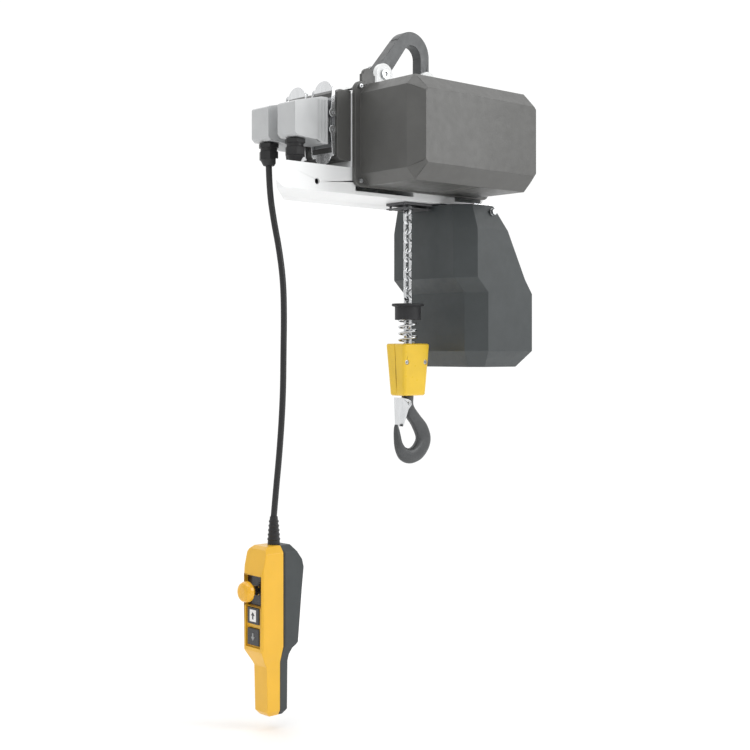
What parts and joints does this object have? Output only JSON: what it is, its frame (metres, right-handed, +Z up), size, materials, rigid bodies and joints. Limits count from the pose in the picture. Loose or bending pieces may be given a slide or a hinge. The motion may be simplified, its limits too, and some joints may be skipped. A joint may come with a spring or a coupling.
{
  "type": "electric chain hoist",
  "caption": "Electric chain hoist with a suspension bracket, chain bucket, swivelling load hook and hanging push-button pendant.",
  "frame": {"origin": "inner seat of the suspension bracket's loop, straight above the load chain", "axes": "+Z up along the load chain, the shafts along Y with the electrical cover facing -Y, the plug-in connectors facing -X"},
  "size_m": [0.668, 0.377, 1.4265],
  "materials": {
    "cover_paint": "satin dark grey powder coat",
    "housing_paint": "satin white powder coat",
    "hood_paint": "light grey powder coat",
    "block_paint": "gloss yellow paint",
    "forged_black": "black phosphate on forged steel",
    "cast_bare": "fine cast surface",
    "bright_steel": "ground, lightly oiled",
    "chain_steel": "bright zinc plating",
    "sheet_zinc": "bright zinc plated sheet",
    "screw_steel": "zinc plated",
    "copper": "enamelled winding",
    "lamination": "varnished laminations",
    "friction": "friction lining",
    "gear_steel": "hardened, oiled",
    "gasket_rubber": "matt",
    "board_green": "solder mask",
    "contactor_grey": "moulded",
    "gland_black": "moulded",
    "bucket_plastic": "fine grained",
    "cup_rubber": "matt",
    "cable_sheath": "smooth",
    "pendant_yellow": "semi gloss",
    "pendant_grey": "soft touch",
    "stop_yellow": "gloss",
    "button_black": "gloss",
    "guide_nylon": "moulded"
  },
  "bodies": {
    "housing": {"main_housing": "housing_paint", "rear_cover": "housing_paint", "rear_cover_screws": "screw_steel", "electrical_cover": "cover_paint", "cover_gasket": "gasket_rubber", "cover_screws": "screw_steel", "connector_box": "cover_paint", "suspension_bracket": "forged_black", "suspension_pins": "screw_steel", "motor_stator": "lamination", "brake_coil": "copper", "small_bearings": "bright_steel", "wheel_bearings": "bright_steel", "control_board": "board_green", "contactors": "contactor_grey", "chain_guide": "guide_nylon", "pendant_socket": "cast_bare", "supply_socket": "cast_bare", "pendant_hood": "hood_paint", "supply_hood": "hood_paint", "pendant_gland": "gland_black", "supply_gland": "gland_black", "chain_bucket": "bucket_plastic", "bucket_bracket": "sheet_zinc", "bucket_bolts": "screw_steel", "slack_chain": "chain_steel", "pendant_cable": "cable_sheath", "pendant_front": "pendant_yellow", "pendant_rear": "pendant_grey", "pendant_boot": "cable_sheath", "contact_block": "button_black"},
    "rotor": {"motor_rotor": "lamination", "brake_disc": "friction"},
    "layshaft_set": {"layshaft": "gear_steel", "intermediate_gear": "gear_steel"},
    "wheel_set": {"load_wheel": "gear_steel", "load_gear": "gear_steel"},
    "armature": {"brake_armature": "bright_steel"},
    "hook_block": {"hook_block_front": "block_paint", "hook_block_rear": "block_paint", "block_screws": "screw_steel", "chain_anchor_pin": "bright_steel", "thrust_bearing": "bright_steel", "load_chain": "chain_steel", "limit_spring": "bright_steel"},
    "limit_cup": {"limit_cup": "cup_rubber"},
    "hook": {"load_hook": "forged_black", "hook_nut": "screw_steel", "latch_pin": "screw_steel", "latch_spring": "bright_steel"},
    "latch": {"hook_latch": "sheet_zinc"},
    "limit_plate": {"limit_plate": "guide_nylon"},
    "pendant_upper_lever": {"pendant_upper_lever": "sheet_zinc"},
    "pendant_lower_lever": {"pendant_lower_lever": "sheet_zinc"},
    "supply_upper_lever": {"supply_upper_lever": "sheet_zinc"},
    "supply_lower_lever": {"supply_lower_lever": "sheet_zinc"},
    "estop_plunger": {"estop_plunger": "button_black"},
    "estop_head": {"estop_head": "stop_yellow"},
    "up_button": {"up_button": "button_black"},
    "down_button": {"down_button": "button_black"}
  },
  "joints": [
    {"name": "motor_spin", "type": "hinge", "parent": "housing", "child": "rotor", "pos_m": [-0.13, 0, -0.225], "axis": [0, 1, 0], "range_deg": [0, 16349.3]},
    {"name": "layshaft_spin", "type": "hinge", "parent": "housing", "child": "layshaft_set", "pos_m": [-0.06171, 0, -0.2022], "axis": [0, 1, 0], "range_deg": [-2336.6, 0]},
    {"name": "wheel_spin", "type": "hinge", "parent": "housing", "child": "wheel_set", "pos_m": [0.03155, 0, -0.225], "axis": [0, 1, 0], "range_deg": [0, 334.7]},
    {"name": "hook_travel", "type": "slide", "parent": "housing", "child": "hook_block", "axis": [0, 0, 1], "range_m": [0, 0.1905], "deforming": ["load_chain", "slack_chain"]},
    {"name": "limit_cup_slide", "type": "slide", "parent": "hook_block", "child": "limit_cup", "axis": [0, 0, -1], "range_m": [0, 0.03], "stiffness_N_per_m": 300, "springref_m": -0.02, "deforming": ["limit_spring"]},
    {"name": "hook_swivel", "type": "hinge", "parent": "hook_block", "child": "hook", "pos_m": [0, 0, -0.73], "axis": [0, 0, 1], "continuous": true},
    {"name": "latch_swing", "type": "hinge", "parent": "hook", "child": "latch", "pos_m": [-0.007, 0, -0.769], "axis": [0, -1, 0], "range_deg": [0, 33], "stiffness_Nm_per_rad": 0.05, "springref_deg": -28.65},
    {"name": "limit_plate_slide", "type": "slide", "parent": "housing", "child": "limit_plate", "axis": [0, 0, 1], "range_m": [0, 0.005], "stiffness_N_per_m": 400, "springref_m": -0.002},
    {"name": "brake_release", "type": "slide", "parent": "housing", "child": "armature", "axis": [0, -1, 0], "range_m": [0, 0.0004], "stiffness_N_per_m": 5000, "springref_m": -0.0005},
    {"name": "pendant_upper_lever_turn", "type": "hinge", "parent": "housing", "child": "pendant_upper_lever", "pos_m": [-0.249, 0.074, -0.178], "axis": [0, -1, 0], "range_deg": [0, 35]},
    {"name": "pendant_lower_lever_turn", "type": "hinge", "parent": "housing", "child": "pendant_lower_lever", "pos_m": [-0.249, 0.074, -0.212], "axis": [0, 1, 0], "range_deg": [0, 35]},
    {"name": "supply_upper_lever_turn", "type": "hinge", "parent": "housing", "child": "supply_upper_lever", "pos_m": [-0.249, -0.012, -0.178], "axis": [0, -1, 0], "range_deg": [0, 35]},
    {"name": "supply_lower_lever_turn", "type": "hinge", "parent": "housing", "child": "supply_lower_lever", "pos_m": [-0.249, -0.012, -0.212], "axis": [0, 1, 0], "range_deg": [0, 35]},
    {"name": "estop_push", "type": "slide", "parent": "housing", "child": "estop_plunger", "axis": [1, 0, 0], "range_m": [0, 0.004], "stiffness_N_per_m": 500, "springref_m": -0.002},
    {"name": "estop_twist", "type": "hinge", "parent": "estop_plunger", "child": "estop_head", "pos_m": [-0.38, 0.073, -1.141], "axis": [1, 0, 0], "range_deg": [0, 30], "stiffness_Nm_per_rad": 0.05, "springref_deg": -5.73},
    {"name": "up_press", "type": "slide", "parent": "housing", "child": "up_button", "axis": [1, 0, 0], "range_m": [0, 0.003], "stiffness_N_per_m": 500, "springref_m": -0.002},
    {"name": "down_press", "type": "slide", "parent": "housing", "child": "down_button", "axis": [1, 0, 0], "range_m": [0, 0.003], "stiffness_N_per_m": 500, "springref_m": -0.002}
  ],
  "couplings": [
    {"joint": "layshaft_spin", "follows": "motor_spin", "ratio": -0.14286},
    {"joint": "wheel_spin", "follows": "motor_spin", "ratio": 0.020408},
    {"joint": "hook_travel", "follows": "motor_spin", "m_per_rad": 0.00066585}
  ]
}
